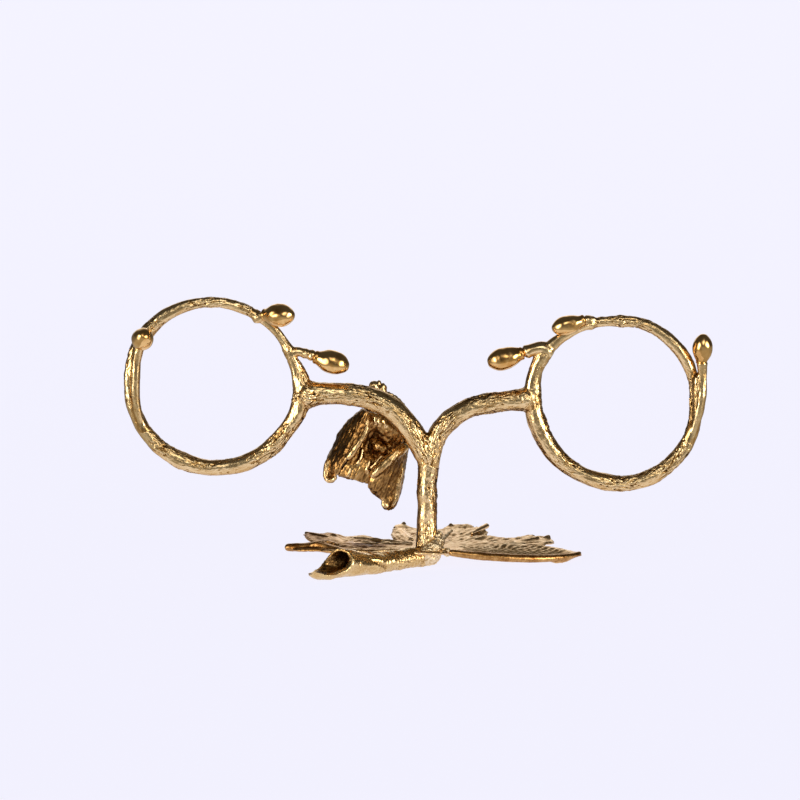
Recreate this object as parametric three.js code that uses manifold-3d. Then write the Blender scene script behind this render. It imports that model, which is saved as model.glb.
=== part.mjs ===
// Eyeglasses display stand: a cast and brazed twig sculpture in polished gilt brass.
// A forked twig stands on a palmate leaf. Each of its two arms ends in a round hoop, like a
// spectacle rim, that carries three flower buds. A drooping flower is brazed behind the left arm.
// Units are millimetres, +Z is up, +X is to the right and +Y points away from the viewer.
import * as THREE from "three";
import { mergeVertices } from "three/addons/utils/BufferGeometryUtils.js";
import Module from "manifold-3d";

const wasm = await Module();
wasm.setup();

// ---- Driving dimensions ----
const GAP = 0.3; // room left for the braze between two castings
const TWIG_SIDES = 10;
const FLOOR = 0; // height of the surface that the leaf rests on

const STEM_HEIGHT = 33.4; // floor to the fork
const STEM_RADII = [3.7, 3, 2.9, 3, 3.3]; // foot to fork
const LEFT_ARM_RADII = [3.2, 3.4, 3.35, 3.15, 3.15, 3.1, 3.2]; // fork to hoop
const RIGHT_ARM_RADII = [3, 3, 2.9, 2.9, 2.85, 2.95, 3.1];

// Each hoop is about as large as a round spectacle lens. Its twig runs from the arm, at angle
// from, round to angle to, in degrees. reach is from the hoop's centre to the twig's middle, and
// radius is the twig's own: both change evenly on the way from root to tip.
const LEFT_HOOP = {
  x: -59.4,
  z: 51.8,
  from: 2,
  to: -304,
  reach: [24, 23.8, 23.5, 23.5, 23.9, 23.7, 23.7, 23, 22.6],
  radius: [2.6, 2.35, 2.3, 2.35, 2.1, 2.1, 2.05, 1.6, 1.5],
};
const RIGHT_HOOP = {
  x: 52.9,
  z: 47.2,
  from: 172,
  to: 476,
  reach: [23.3, 22.9, 23.1, 23.7, 23.3, 22.5, 22.6, 22.3, 22.2],
  radius: [2.5, 2.7, 2.4, 2.15, 2.05, 2, 1.85, 1.7, 1.6],
};
// A short shoot closes each hoop from the arm up to the hoop's tip.
const LEFT_SHOOT = { from: 2, to: 54, reach: [24, 23, 22.8, 22.7], radius: [2, 1.7, 1.5, 1.2] };
const RIGHT_SHOOT = { from: 172, to: 118.5, reach: [23.3, 23.8, 23.2, 22.4], radius: [2.1, 1.9, 1.6, 1.3] };
const HOOP_SWAY = 0.8; // how far a hoop leans back from the plane of the arms

const STALK_RADII = [3.5, 3.8, 3.6, 3.4, 3.8, 4.6, 4.4, 3.2]; // stem to mouth
const LEAF_THICKNESS = 1.5;
const LEAF_HUB_HEIGHT = 4.6; // of the blade's middle surface, above the floor
const LEAF_EDGE_HEIGHT = 0.4;
// Each lobe is an ellipse that grows from the hub: direction in degrees, length, half width.
const LEAF_LOBES = [
  { angle: 15, length: 45.6, halfWidth: 8 },
  { angle: 42, length: 49.5, halfWidth: 9.5 },
  { angle: 74, length: 48, halfWidth: 9.5 },
  { angle: 104, length: 44, halfWidth: 9.5 },
  { angle: 136, length: 49, halfWidth: 9.5 },
  { angle: 160, length: 43, halfWidth: 7.5 },
];
const LEAF_HUB_RADIUS = 7;

const FLOWER_SEPALS = 5;
const FLOWER_WALL = 1.3;
const FLOWER_BASE = new THREE.Vector3(-12.2, 8.2, 45);
const FLOWER_MIDDLE = new THREE.Vector3(-15.4, 14, 31.5);
const FLOWER_MOUTH = new THREE.Vector3(-19.2, 13.6, 16.8);
const FLOWER_RADII = [3.4, 7.4, 9.4, 10.2, 10.2, 9.8, 9.6]; // base to mouth
const FLOWER_TWIST = THREE.MathUtils.degToRad(-36); // of the sepals, base to mouth
const SEPAL_LENGTHS = [0.94, 1, 0.92, 0.9, 0.88]; // shares of the flower's length

// ---- Finish ----
const gilt = (name, color, roughness) =>
  new THREE.MeshStandardMaterial({ name, color, roughness, metalness: 1 });
const BARK_GILT = gilt("bark_gilt", 0xc79a45, 0.28);
const BUD_GILT = gilt("bud_gilt", 0xcf9f42, 0.16);
const LEAF_GILT = gilt("leaf_gilt", 0xb29763, 0.42);
const FLOWER_GILT = gilt("flower_gilt", 0x8f6f38, 0.4);
const BRAZE_METAL = gilt("braze_metal", 0xc9b99b, 0.6);

// ---- Helpers ----
const at = (x, y, z) => new THREE.Vector3(x, y, z);
const through = (...points) => new THREE.CatmullRomCurve3(points);

// A value that runs evenly through a list of values as u goes from 0 to 1.
function along(values) {
  return (u) => {
    const place = THREE.MathUtils.clamp(u, 0, 1) * (values.length - 1);
    const step = Math.min(Math.floor(place), values.length - 2);
    return THREE.MathUtils.lerp(values[step], values[step + 1], place - step);
  };
}

// Moves each vertex of a geometry to the point that place(x, y, z) gives.
function reshape(geometry, place) {
  const position = geometry.getAttribute("position");
  for (let i = 0; i < position.count; i++) {
    const p = place(position.getX(i), position.getY(i), position.getZ(i));
    position.setXYZ(i, p.x, p.y, p.z);
  }
  return geometry;
}

// A twig: a closed cylinder bent along a curve, with a radius that changes on the way.
function twig(curve, radiusAt, steps, grow = 0) {
  const frames = curve.computeFrenetFrames(steps);
  const rod = new THREE.CylinderGeometry(1, 1, 1, TWIG_SIDES, steps);
  return reshape(rod, (x, y, z) => {
    const u = THREE.MathUtils.clamp(y + 0.5, 0, 1);
    const ring = Math.round(u * steps);
    const radius = radiusAt(u) + grow;
    const end = ring === 0 || ring === steps ? Math.sign(u - 0.5) * grow : 0;
    return curve
      .getPointAt(u)
      .addScaledVector(frames.binormals[ring], x * radius)
      .addScaledVector(frames.normals[ring], z * radius)
      .addScaledVector(frames.tangents[ring], end);
  });
}

// An egg-shaped body of revolution from a base point to a tip.
function egg(base, tip, radius, grow = 0) {
  const rows = 10;
  const length = base.distanceTo(tip);
  const profile = [];
  for (let i = 0; i <= rows; i++) {
    const u = i / rows;
    // fuller towards the tip than a plain ellipse, with a slim neck at the base
    const bulge = Math.sqrt(Math.sin(Math.PI * Math.pow(u, 0.86)));
    const onAxis = i === 0 || i === rows;
    const width = onAxis ? 0 : radius * bulge + grow;
    profile.push(new THREE.Vector2(width, u * length + (onAxis ? Math.sign(u - 0.5) * grow : 0)));
  }
  const direction = tip.clone().sub(base).normalize();
  const turn = new THREE.Quaternion().setFromUnitVectors(at(0, 1, 0), direction);
  return new THREE.LatheGeometry(profile, TWIG_SIDES)
    .applyQuaternion(turn)
    .translate(base.x, base.y, base.z);
}

// ---- Solids: cuts between neighbours ----
function solid(geometry) {
  const bare = geometry.clone();
  bare.deleteAttribute("normal");
  bare.deleteAttribute("uv");
  const merged = mergeVertices(bare, 1e-3);
  return new wasm.Manifold(
    new wasm.Mesh({
      numProp: 3,
      vertProperties: new Float32Array(merged.attributes.position.array),
      triVerts: new Uint32Array(merged.index.array),
    }),
  );
}

function geometryOf(manifold) {
  const mesh = manifold.getMesh();
  const geometry = new THREE.BufferGeometry();
  geometry.setAttribute("position", new THREE.BufferAttribute(new Float32Array(mesh.vertProperties), 3));
  geometry.setIndex(new THREE.BufferAttribute(new Uint32Array(mesh.triVerts), 1));
  geometry.computeVertexNormals();
  return geometry;
}

// The piece with its neighbours' space cut out of it; loose slivers of the cut are dropped.
function cope(geometry, ...neighbours) {
  let piece = solid(geometry);
  for (const neighbour of neighbours) piece = piece.subtract(solid(neighbour));
  const bodies = piece.decompose().sort((a, b) => b.volume() - a.volume());
  return geometryOf(bodies[0]);
}

const stand = new THREE.Group();
function add(name, geometry, material) {
  const mesh = new THREE.Mesh(geometry, material);
  mesh.name = name;
  stand.add(mesh);
}

// ---- Leaf stalk: a stout, hollow stalk that lies on the table and flares to a torn mouth ----
const STALK_LINE = through(
  at(4.5, 1.5, 3.4),
  at(-3, -3, 3.2),
  at(-12, -10, 2.8),
  at(-20, -16.2, 3.6),
  at(-27, -20.6, 4),
  at(-33, -23, 3.6),
);
const stalkBody = (grow = 0) => twig(STALK_LINE, along(STALK_RADII), 18, grow);

function leafStalk() {
  const hollow = twig(
    through(at(-17, -13.8, 4.2), at(-24, -18.8, 4.7), at(-34, -23.3, 4.6)),
    along([1.2, 3, 3.3]),
    6,
  );
  // The mouth is torn away in a hollow curve, and leaves the under lip sticking out as a tongue.
  const tear = new THREE.CylinderGeometry(8, 8, 30, 24)
    .rotateZ(THREE.MathUtils.degToRad(30))
    .translate(-31.6, -22.4, 9.8);
  // The underside is filed flat where the casting stands on the table.
  const table = new THREE.BoxGeometry(120, 120, 10).translate(0, 0, FLOOR - 5);
  return cope(stalkBody(), hollow, tear, table);
}
add("leaf_stalk", leafStalk(), BARK_GILT);

// ---- Stem ----
const STEM_LINE = through(at(0.2, 0, 4), at(0, 0, 13), at(0.2, 0, 23), at(0.5, 0, STEM_HEIGHT));
const stemBody = (grow = 0) => twig(STEM_LINE, along(STEM_RADII), 8, grow);
add("stem", cope(stemBody(), stalkBody(GAP)), BARK_GILT);

// ---- Leaf blade ----
// Distance from the hub to the leaf's margin in a direction.
function leafReach(angle) {
  let reach = LEAF_HUB_RADIUS;
  for (const lobe of LEAF_LOBES) {
    const turn = angle - THREE.MathUtils.degToRad(lobe.angle);
    const c = Math.cos(turn);
    if (c <= 0) continue;
    const a = lobe.length / 2;
    const b = lobe.halfWidth;
    const ellipse = (2 * a * b * b * c) / (b * b * c * c + a * a * (1 - c * c));
    reach = Math.max(reach, ellipse);
  }
  return reach;
}

// Height of the blade's middle surface. It arches down from the hub to the table, and the lobes'
// tips turn up again.
function leafHeight(share, angle) {
  const arch = Math.cos((Math.PI / 2) * Math.min(share * 1.3, 1));
  const curl = 1.4 * Math.pow(share, 8);
  const swell = 0.4 * share * Math.sin(angle * 3 + 0.6);
  return LEAF_EDGE_HEIGHT + (LEAF_HUB_HEIGHT - LEAF_EDGE_HEIGHT) * arch + curl + swell;
}

function leafBlade() {
  const rings = 5;
  const half = LEAF_THICKNESS / 2;
  const profile = [];
  for (let i = 0; i <= rings; i++) profile.push(new THREE.Vector2(i / rings, -half));
  for (let i = rings; i >= 0; i--) profile.push(new THREE.Vector2(i / rings, half));
  const disc = new THREE.LatheGeometry(profile, 96);
  const blade = reshape(disc, (x, y, z) => {
    const share = Math.hypot(x, z);
    const angle = Math.atan2(-z, x);
    const reach = share * leafReach(angle);
    const height = leafHeight(share, angle) + y;
    return at(Math.cos(angle) * reach, Math.sin(angle) * reach, Math.max(height, FLOOR));
  });
  return cope(blade, stalkBody(GAP), stemBody(GAP));
}
add("leaf_blade", leafBlade(), LEAF_GILT);

// ---- Braze fillet around the stem's foot ----
function footBraze() {
  const foot = LEAF_HUB_HEIGHT + LEAF_THICKNESS / 2 + GAP;
  const outline = [
    [0, foot],
    [5, foot],
    [5, foot + 0.8],
    [4.3, foot + 2],
    [3.8, foot + 3.4],
    [0, foot + 3.4],
  ];
  const fillet = new THREE.LatheGeometry(outline.map(([r, z]) => new THREE.Vector2(r, z)), 20)
    .rotateX(Math.PI / 2)
    .translate(1, 0, 0);
  return cope(fillet, stemBody(GAP), stalkBody(GAP));
}
add("foot_braze", footBraze(), BRAZE_METAL);

// ---- Arms ----
const LEFT_ARM_LINE = through(
  at(0, 0, 30.5),
  at(-2.5, 0, 35.9),
  at(-5.6, 0, 40.2),
  at(-9, 0, 44.1),
  at(-12.8, 0, 46.6),
  at(-17.4, 0, 48),
  at(-23.5, 0, 48.9),
  at(-30, 0, 48.9),
  at(-35.6, 0, 48.6),
);
const RIGHT_ARM_LINE = through(
  at(0.9, 0, 30.5),
  at(2, 0, 35.1),
  at(3.9, 0, 38.7),
  at(7, 0, 42.1),
  at(11.5, 0, 44.8),
  at(16.2, 0, 46.1),
  at(21.8, 0, 46.8),
  at(29.4, 0, 47.6),
);
const leftArmBody = (grow = 0) => twig(LEFT_ARM_LINE, along(LEFT_ARM_RADII), 16, grow);
const rightArmBody = (grow = 0) => twig(RIGHT_ARM_LINE, along(RIGHT_ARM_RADII), 14, grow);

// ---- Hoops: twigs bent round a lens-sized bore ----
class HoopLine extends THREE.Curve {
  constructor(hoop, twigOfHoop, sway = 0) {
    super();
    this.hoop = hoop;
    this.from = THREE.MathUtils.degToRad(twigOfHoop.from);
    this.to = THREE.MathUtils.degToRad(twigOfHoop.to);
    this.reachAt = along(twigOfHoop.reach);
    this.sway = sway;
  }
  getPoint(t, target = new THREE.Vector3()) {
    const angle = THREE.MathUtils.lerp(this.from, this.to, t);
    const reach = this.reachAt(t);
    return target.set(
      this.hoop.x + reach * Math.cos(angle),
      this.sway * Math.sin(Math.PI * t),
      this.hoop.z + reach * Math.sin(angle),
    );
  }
}
const LEFT_HOOP_LINE = new HoopLine(LEFT_HOOP, LEFT_HOOP, HOOP_SWAY);
const RIGHT_HOOP_LINE = new HoopLine(RIGHT_HOOP, RIGHT_HOOP, HOOP_SWAY);
const LEFT_SHOOT_LINE = new HoopLine(LEFT_HOOP, LEFT_SHOOT);
const RIGHT_SHOOT_LINE = new HoopLine(RIGHT_HOOP, RIGHT_SHOOT);
const leftHoopBody = (grow = 0) => twig(LEFT_HOOP_LINE, along(LEFT_HOOP.radius), 38, grow);
const rightHoopBody = (grow = 0) => twig(RIGHT_HOOP_LINE, along(RIGHT_HOOP.radius), 38, grow);
const leftShootBody = (grow = 0) => twig(LEFT_SHOOT_LINE, along(LEFT_SHOOT.radius), 8, grow);
const rightShootBody = (grow = 0) => twig(RIGHT_SHOOT_LINE, along(RIGHT_SHOOT.radius), 8, grow);

add("left_hoop", leftHoopBody(), BARK_GILT);
add("right_hoop", rightHoopBody(), BARK_GILT);
add("left_arm", cope(leftArmBody(), stemBody(GAP), leftHoopBody(GAP)), BARK_GILT);
add("right_arm", cope(rightArmBody(), stemBody(GAP), leftArmBody(GAP), rightHoopBody(GAP)), BARK_GILT);

// ---- Buds, and the stalks that some of them stand on ----
const BUDS = {
  left_side_bud: { base: at(-80.3, -2.4, 61.6), tip: at(-79.0, -10.2, 65.4), radius: 3.1 },
  left_top_bud: { base: at(-46.2, -0.9, 70.6), tip: at(-38.4, -5.6, 70.7), radius: 3.2 },
  left_inner_bud: { base: at(-31.3, -0.4, 59.4), tip: at(-21.9, -1.2, 56.4), radius: 3.35 },
  right_inner_bud: { base: at(27.2, -0.4, 60.4), tip: at(17.2, -1.2, 57.4), radius: 3.2 },
  right_top_bud: { base: at(41.6, -0.4, 69.2), tip: at(34.9, -1.8, 67.2), radius: 2.6 },
  right_side_bud: { base: at(77.0, -1.2, 57.7), tip: at(77.7, -1.8, 65.9), radius: 2.7 },
};
const BUD_STALKS = {
  left_side_bud_stalk: {
    line: through(at(-82.6, 0, 54.5), at(-82.0, -1.4, 58.2), at(-80.6, -2.0, 61.1)),
    radii: along([1.3, 1.6, 1.5]),
  },
  left_inner_bud_stalk: {
    line: through(at(-36.8, 0, 57.6), at(-34.8, -0.2, 59.9), at(-31.8, -0.4, 59.5)),
    radii: along([1.5, 1.4, 1.3]),
  },
  right_inner_bud_stalk: {
    line: through(at(33.2, 0, 60.2), at(30.4, -0.2, 61.0), at(27.7, -0.4, 60.6)),
    radii: along([1.5, 1.5, 1.3]),
  },
  right_side_bud_stalk: {
    line: through(at(76.6, -0.6, 44.5), at(77.0, -1.0, 49.5), at(76.9, -1.1, 57.1)),
    radii: along([1.1, 1.3, 1.4]),
  },
};
const budBody = (name, grow = 0) => egg(BUDS[name].base, BUDS[name].tip, BUDS[name].radius, grow);
const budStalkBody = (name, grow = 0) => twig(BUD_STALKS[name].line, BUD_STALKS[name].radii, 6, grow);

add(
  "left_shoot",
  cope(leftShootBody(), leftHoopBody(GAP), leftArmBody(GAP), budBody("left_top_bud", GAP)),
  BARK_GILT,
);
add(
  "right_shoot",
  cope(rightShootBody(), rightHoopBody(GAP), rightArmBody(GAP), budBody("right_top_bud", GAP)),
  BARK_GILT,
);
const wood = [leftHoopBody(GAP), rightHoopBody(GAP), leftShootBody(GAP), rightShootBody(GAP)];
for (const name of Object.keys(BUD_STALKS)) add(name, cope(budStalkBody(name), ...wood), BARK_GILT);
const budNeighbours = [...wood, ...Object.keys(BUD_STALKS).map((name) => budStalkBody(name, GAP))];
for (const name of Object.keys(BUDS)) {
  const neighbours = name.endsWith("top_bud") ? [leftHoopBody(GAP), rightHoopBody(GAP)] : budNeighbours;
  add(name, cope(budBody(name), ...neighbours), BUD_GILT);
}

// ---- Flower: five keeled sepals round a seed head, on a stub of stalk ----
const FLOWER_LINE = through(FLOWER_BASE, FLOWER_MIDDLE, FLOWER_MOUTH);
const flowerRadii = along(FLOWER_RADII);

// A point of the bell: u runs from base to mouth, angle round it, depth in from its outer face.
function bellPoint(u, angle, depth) {
  const line = FLOWER_LINE.getPoint(THREE.MathUtils.clamp(u, 0, 1));
  const down = FLOWER_LINE.getTangent(THREE.MathUtils.clamp(u, 0, 1));
  const side = at(1, 0, 0).addScaledVector(down, -down.x).normalize();
  const front = new THREE.Vector3().crossVectors(down, side);
  const reach = flowerRadii(u) - depth;
  return line
    .addScaledVector(side, Math.sin(angle) * reach)
    .addScaledVector(front, Math.cos(angle) * reach);
}

function sepal(index) {
  const span = (2 * Math.PI) / FLOWER_SEPALS;
  const sheet = new THREE.BoxGeometry(1, 1, 1, 6, 9, 1);
  return reshape(sheet, (x, y, z) => {
    const share = 0.5 - y;
    const u = share * SEPAL_LENGTHS[index];
    const gap = GAP / flowerRadii(u);
    // full width for most of the way down, then drawn in to a round tip
    const fullness = Math.sqrt(Math.max(0.1, 1 - Math.pow(Math.max(0, share - 0.72) / 0.28, 2)));
    const middle = (index + 0.36) * span + FLOWER_TWIST * u;
    const angle = middle + x * (span - gap) * fullness;
    // the edges stand out as keels where two sepals meet
    const keel = 1.1 * Math.pow(Math.abs(2 * x), 3) * Math.sin(Math.PI * Math.min(u * 1.1, 1));
    return bellPoint(u, angle, (0.5 - z) * FLOWER_WALL - keel);
  });
}
const FLOWER_STALK_LINE = through(at(-13.6, 6.2, 51.4), at(-13.0, 6.3, 49), at(-12.6, 6.6, 46.6));
const flowerStub = (grow = 0) => twig(FLOWER_STALK_LINE, along([2.1, 2.3, 2.5]), 4, grow);
const seedHead = (grow = 0) => egg(at(-13.6, 8.6, 44.2), at(-17.4, 13.4, 27), 4.4, grow);

for (let i = 0; i < FLOWER_SEPALS; i++) {
  add(
    `flower_sepal_${i + 1}`,
    cope(sepal(i), leftArmBody(GAP), stemBody(GAP), flowerStub(GAP), seedHead(GAP)),
    FLOWER_GILT,
  );
}
add("flower_stalk", cope(flowerStub(), leftArmBody(GAP)), FLOWER_GILT);
add("flower_seed_head", cope(seedHead(), flowerStub(GAP), leftArmBody(GAP)), FLOWER_GILT);

// ---- The part's own frame: origin at the bottom centre of the whole object ----
const box = new THREE.Box3().setFromObject(stand);
const middle = box.getCenter(new THREE.Vector3());
stand.position.set(-middle.x, -middle.y, -box.min.z);

export default stand;
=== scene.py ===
import math

import bpy
import numpy as np
from bpy.props import FloatProperty, FloatVectorProperty, PointerProperty
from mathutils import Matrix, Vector, noise
from mathutils.kdtree import KDTree


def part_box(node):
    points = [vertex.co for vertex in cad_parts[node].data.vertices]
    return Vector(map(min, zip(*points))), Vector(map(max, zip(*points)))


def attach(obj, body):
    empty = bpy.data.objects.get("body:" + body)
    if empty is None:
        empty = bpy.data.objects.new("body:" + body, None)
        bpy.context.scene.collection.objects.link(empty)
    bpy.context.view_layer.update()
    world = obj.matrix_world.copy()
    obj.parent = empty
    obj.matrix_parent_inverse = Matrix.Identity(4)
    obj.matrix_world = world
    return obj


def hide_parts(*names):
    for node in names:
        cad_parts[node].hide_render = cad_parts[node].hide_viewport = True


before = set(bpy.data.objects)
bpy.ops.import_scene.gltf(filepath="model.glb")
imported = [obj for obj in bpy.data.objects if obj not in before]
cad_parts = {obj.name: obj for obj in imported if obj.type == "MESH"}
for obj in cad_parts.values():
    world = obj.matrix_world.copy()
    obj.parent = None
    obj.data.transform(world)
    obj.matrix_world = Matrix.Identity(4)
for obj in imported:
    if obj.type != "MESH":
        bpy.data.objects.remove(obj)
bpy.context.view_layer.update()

bl_info = {
    "name": "Twig Eyeglasses Stand",
    "version": (1, 0, 0),
    "blender": (4, 5, 0),
    "location": "3D View > Sidebar > Twig Stand",
    "description": "Models a gilt brass eyeglasses stand cast from twigs, a leaf and a flower",
    "category": "Object",
}

# Places are given in millimetres from the stem's foot, X to the right, Y away, Z up.
MM = 0.001
STEM_LOW, STEM_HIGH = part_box("stem")
FOOT = Vector(((STEM_LOW.x + STEM_HIGH.x) / 2, (STEM_LOW.y + STEM_HIGH.y) / 2, 0.0))
ROOT_BODY = "root"
# edges that turn by more than this stay crisp
SHARP_ANGLE = math.radians(60)


# ---- Small helpers -------------------------------------------------------------------------------


def at(point):
    """The place in the frame, in metres, of a point given in millimetres from the stem's foot."""
    return FOOT + Vector(point) * MM


def deselect():
    """Leaves nothing selected, in object mode."""
    if bpy.context.object and bpy.context.object.mode != "OBJECT":
        bpy.ops.object.mode_set(mode="OBJECT")
    bpy.ops.object.select_all(action="DESELECT")


def take(obj):
    """Makes obj the only selected object and the active one."""
    deselect()
    obj.select_set(True)
    bpy.context.view_layer.objects.active = obj
    return obj


def apply_modifier(obj, kind, **settings):
    """Adds a modifier with its settings and applies it."""
    take(obj)
    bpy.ops.object.modifier_add(type=kind)
    modifier = obj.modifiers[-1]
    for name, value in settings.items():
        setattr(modifier, name, value)
    bpy.ops.object.modifier_apply(modifier=modifier.name)


def join(objs, name):
    """Joins objects into the first one."""
    deselect()
    for obj in objs:
        obj.select_set(True)
    bpy.context.view_layer.objects.active = objs[0]
    bpy.ops.object.join()
    objs[0].name = name
    objs[0].data.name = name
    return objs[0]


def settle(obj):
    """Moves an object's place, turn and size into its mesh."""
    take(obj)
    bpy.ops.object.transform_apply(location=True, rotation=True, scale=True)


def finish_piece(obj, name, material, replaced):
    """Names a finished piece and says what it rides on, what it replaces and what it is made of."""
    obj.name = name
    obj.data.name = name
    obj.data.materials.clear()
    obj.data.materials.append(material)
    take(obj)
    bpy.ops.object.shade_smooth_by_angle(angle=SHARP_ANGLE)
    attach(obj, ROOT_BODY)
    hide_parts(*replaced)
    return obj


def coordinates(obj):
    """An object's vertices as an array of rows, in millimetres from the stem's foot."""
    flat = np.empty(len(obj.data.vertices) * 3)
    obj.data.vertices.foreach_get("co", flat)
    return (flat.reshape(-1, 3) - np.array(FOOT)) / MM


def normals(obj):
    """An object's vertex normals as an array of rows."""
    flat = np.empty(len(obj.data.vertices) * 3)
    obj.data.vertex_normals.foreach_get("vector", flat)
    return flat.reshape(-1, 3)


def move_to(obj, rows):
    """Puts an object's vertices at rows, in millimetres from the stem's foot."""
    obj.data.vertices.foreach_set("co", (rows * MM + np.array(FOOT)).ravel())
    obj.data.update()


def rest_on_table(obj):
    """Lifts every vertex that is under the table up to it. Returns the vertices as rows."""
    rows = coordinates(obj)
    rows[:, 2] = np.maximum(rows[:, 2], 0)
    move_to(obj, rows)
    return rows


def store(obj, name, values):
    """Keeps one number, or one vector, for each vertex as an attribute that materials read."""
    kind, key = ("FLOAT_VECTOR", "vector") if np.ndim(values) == 2 else ("FLOAT", "value")
    attribute = obj.data.attributes.new(name, kind, "POINT")
    attribute.data.foreach_set(key, np.ascontiguousarray(values, np.float32).ravel())


def rough(rows, *size, seed=0.0):
    """Smooth noise from about -1 to 1 at each row, with features about size mm wide."""
    scaled = rows / np.array(size) + seed
    return np.fromiter((noise.noise(p) for p in scaled.tolist()), float, len(rows))


def smooth_step(values, low, high):
    """0 below low, 1 above high and a smooth rise between them."""
    share = np.clip((values - low) / (high - low), 0, 1)
    return share * share * (3 - 2 * share)


# ---- Lines, tubes and sheets ---------------------------------------------------------------------


def spline_weights(count, places):
    """The weight of each of count control points at each place, from 0 to 1, of a smooth spline."""
    place = np.clip(places, 0, 1) * (count - 1)
    low = np.clip(place.astype(int), 0, count - 2)
    t = place - low
    shares = [
        (-t + 2 * t**2 - t**3) / 2,
        (2 - 5 * t**2 + 3 * t**3) / 2,
        (t + 4 * t**2 - 3 * t**3) / 2,
        (t**3 - t**2) / 2,
    ]
    weights = np.zeros((len(place), count + 2))
    for step, share in enumerate(shares):
        weights[np.arange(len(place)), low + step] += share
    # the line runs on straight beyond its first and last control point
    weights[:, 1] += 2 * weights[:, 0]
    weights[:, 2] -= weights[:, 0]
    weights[:, -2] += 2 * weights[:, -1]
    weights[:, -3] -= weights[:, -1]
    return weights[:, 1:-1]


def course(points, spacing=0.35):
    """Evenly spaced points along a smooth line through the given points, in millimetres."""
    points = np.array(points, float)
    rows = spline_weights(len(points), np.linspace(0, 1, 24 * len(points))) @ points
    gone = np.concatenate([[0], np.cumsum(np.linalg.norm(np.diff(rows, axis=0), axis=1))])
    places = np.linspace(0, gone[-1], max(8, int(gone[-1] / spacing)))
    return np.stack([np.interp(places, gone, rows[:, axis]) for axis in range(3)], 1)


def widths(line, radii, knots=()):
    """A radius for each point of a line. Radii change evenly, knots swell it, ends are round."""
    share = np.linspace(0, 1, len(line))
    radius = np.interp(share, np.linspace(0, 1, len(radii)), radii)
    length = np.linalg.norm(np.diff(line, axis=0), axis=1).sum()
    for place, swell, half_length in knots:
        radius = radius + swell * np.exp(-(((share - place) * length / half_length) ** 2))
    to_end = np.minimum(share, 1 - share) * length
    inside = 1 - np.minimum(to_end / radius, 1)
    return radius * np.sqrt(np.maximum(1 - inside**2, 0.02))


def tube(name, points, radii, knots=()):
    """A closed round tube with rounded ends along a smooth line."""
    line = course(points)
    curve = bpy.data.curves.new(name, "CURVE")
    curve.dimensions = "3D"
    curve.bevel_depth = 1.0
    curve.bevel_resolution = 6
    curve.use_fill_caps = True
    spline = curve.splines.new("POLY")
    spline.points.add(len(line) - 1)
    for point, row, width in zip(spline.points, line, widths(line, radii, knots)):
        point.co = (*at(row), 1.0)
        point.radius = width * MM
    obj = bpy.data.objects.new(name, curve)
    bpy.context.collection.objects.link(obj)
    take(obj)
    bpy.ops.object.convert(target="MESH")
    return bpy.context.object


def distance(rows, points):
    """How far each row is from the smooth line through points, in millimetres."""
    line = course(points, 0.5)
    return np.sqrt(((rows[:, None, :] - line[None]) ** 2).sum(2)).min(1)


def ball(place, radius):
    """A round lump."""
    deselect()
    bpy.ops.mesh.primitive_ico_sphere_add(subdivisions=3, radius=radius * MM, location=at(place))
    settle(bpy.context.object)
    return bpy.context.object


def flat_grid(across, along):
    """A grid with each vertex's share of the way across it and along it, for bending into shape."""
    deselect()
    bpy.ops.mesh.primitive_grid_add(x_subdivisions=across, y_subdivisions=along, size=1)
    grid = bpy.context.object
    settle(grid)
    flat = np.empty(len(grid.data.vertices) * 3)
    grid.data.vertices.foreach_get("co", flat)
    flat = flat.reshape(-1, 3)
    return grid, flat[:, 0] + 0.5, 0.5 - flat[:, 1]


def sheet(name, control, thickness):
    """A thin closed sheet bent through rows of control points, in millimetres."""
    control = np.array(control, float)
    grid, across, along = flat_grid(36, 60)
    down = spline_weights(control.shape[0], along)
    over = spline_weights(control.shape[1], across)
    move_to(grid, np.einsum("kr,kc,rcd->kd", down, over, control))
    apply_modifier(grid, "SOLIDIFY", thickness=thickness * MM, offset=0)
    grid.name = name
    return grid


def fuse(obj, voxel, rounds):
    """Melts overlapping shells into one skin and rounds its corners, as wax does."""
    apply_modifier(obj, "REMESH", mode="VOXEL", voxel_size=voxel * MM)
    apply_modifier(obj, "SMOOTH", factor=0.5, iterations=rounds)


def fineness(wanted):
    """The voxel size to melt with, in millimetres."""
    return wanted


def push_out(obj, height):
    """Moves each vertex out along its normal by its height, in millimetres."""
    move_to(obj, coordinates(obj) + normals(obj) * height[:, None])


def age(obj, grain, coarse, base, gain, extra):
    """Stores what the materials read: the grain's own place, its coarseness, and the patina.

    Patina stays in hollows and is rubbed off whatever stands out: base is its share on an even
    skin, gain how much it changes for each mm a vertex stands out over the same skin smoothed,
    and extra what is added to it, which on the twigs and the leaf also holds painted shade.
    """
    smooth = obj.copy()
    smooth.data = obj.data.copy()
    bpy.context.collection.objects.link(smooth)
    apply_modifier(smooth, "SMOOTH", factor=0.5, iterations=5)
    stands_out = ((coordinates(obj) - coordinates(smooth)) * normals(obj)).sum(1)
    bpy.data.objects.remove(smooth)
    store(obj, "grain", grain)
    store(obj, "coarse", np.broadcast_to(coarse, len(grain)))
    store(obj, "patina", np.clip(base - gain * stands_out + extra, 0, 1))


# ---- Materials -----------------------------------------------------------------------------------


def linear(code):
    """A linear colour with alpha from an sRGB hex code."""
    channels = [int(code[i : i + 2], 16) / 255 for i in (1, 3, 5)]
    return [c / 12.92 if c <= 0.04045 else ((c + 0.055) / 1.055) ** 2.4 for c in channels] + [1.0]


def add_node(tree, kind, inputs=None, **settings):
    """Adds a node with its settings. An input is a value, or an output to link from."""
    node = tree.nodes.new(kind)
    for name, value in settings.items():
        setattr(node, name, value)
    for key, value in (inputs or {}).items():
        if isinstance(value, bpy.types.NodeSocket):
            tree.links.new(value, node.inputs[key])
        else:
            node.inputs[key].default_value = value
    return node


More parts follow.
